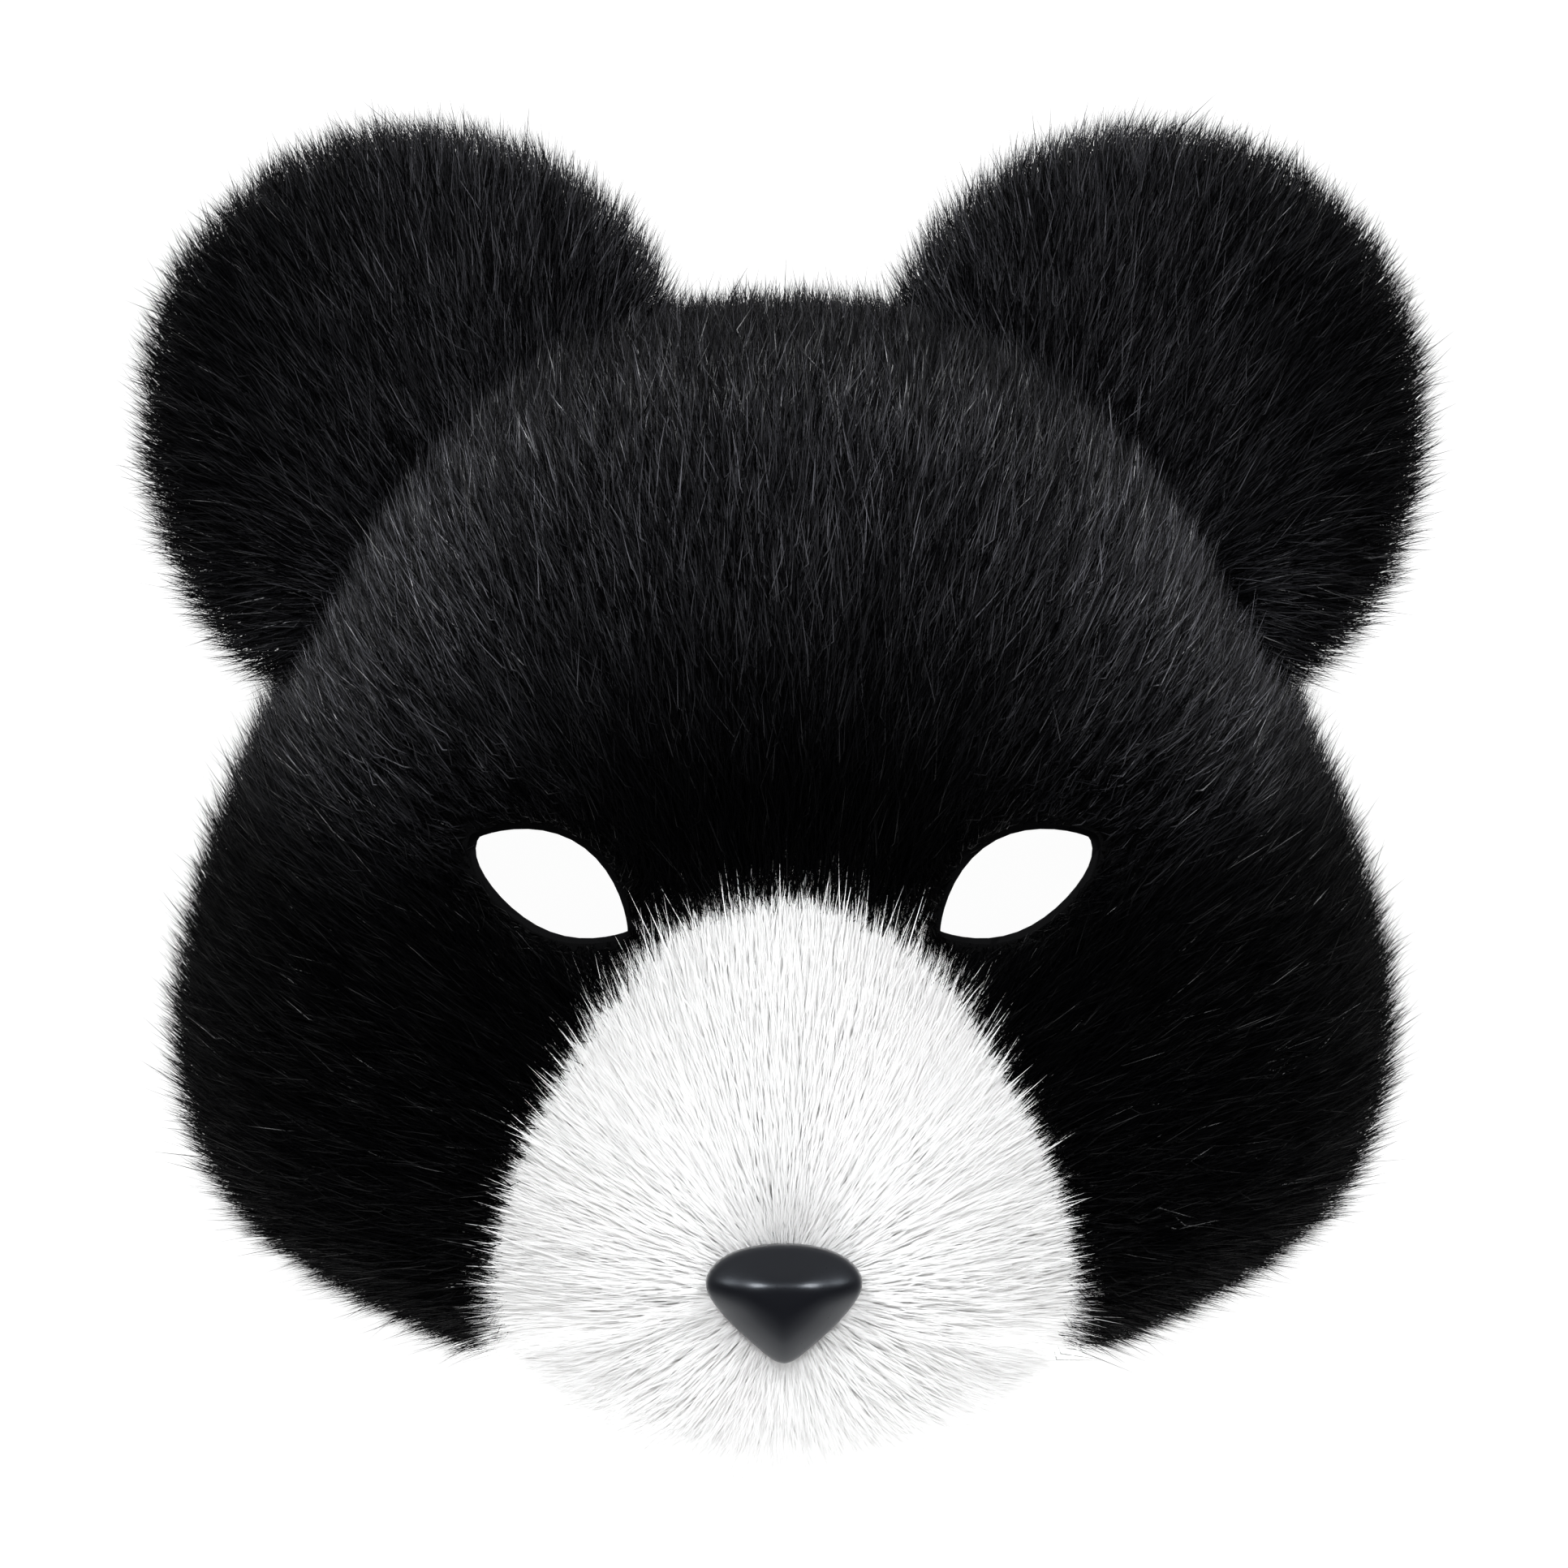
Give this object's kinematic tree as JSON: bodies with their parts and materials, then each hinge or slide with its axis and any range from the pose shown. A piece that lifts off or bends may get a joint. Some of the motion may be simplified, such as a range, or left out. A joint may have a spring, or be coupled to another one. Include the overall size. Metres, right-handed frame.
{
  "type": "bear mask",
  "caption": "Plush bear face mask with round ears, a white snout, a moulded nose and almond eye holes over a moulded wall.",
  "frame": {"origin": "on the floor under the middle of the whole mask, which lies face up on its rim", "axes": "+X across the face towards its right ear in the picture, +Y towards the crown, +Z out of the face"},
  "size_m": [0.2072, 0.2144, 0.1025],
  "materials": {
    "moulded_wall": "matt moulded foam, black",
    "black_pile": "long black plush pile with a soft sheen",
    "white_pile": "long white plush pile",
    "ear_pile": "long black plush pile with a soft sheen",
    "gloss_nose": "glossy moulded black"
  },
  "bodies": {
    "root": {"mask_shell": "moulded_wall", "face_fur": "black_pile", "muzzle_fur": "white_pile", "ear_left": "ear_pile", "ear_right": "ear_pile", "nose": "gloss_nose"}
  },
  "joints": []
}
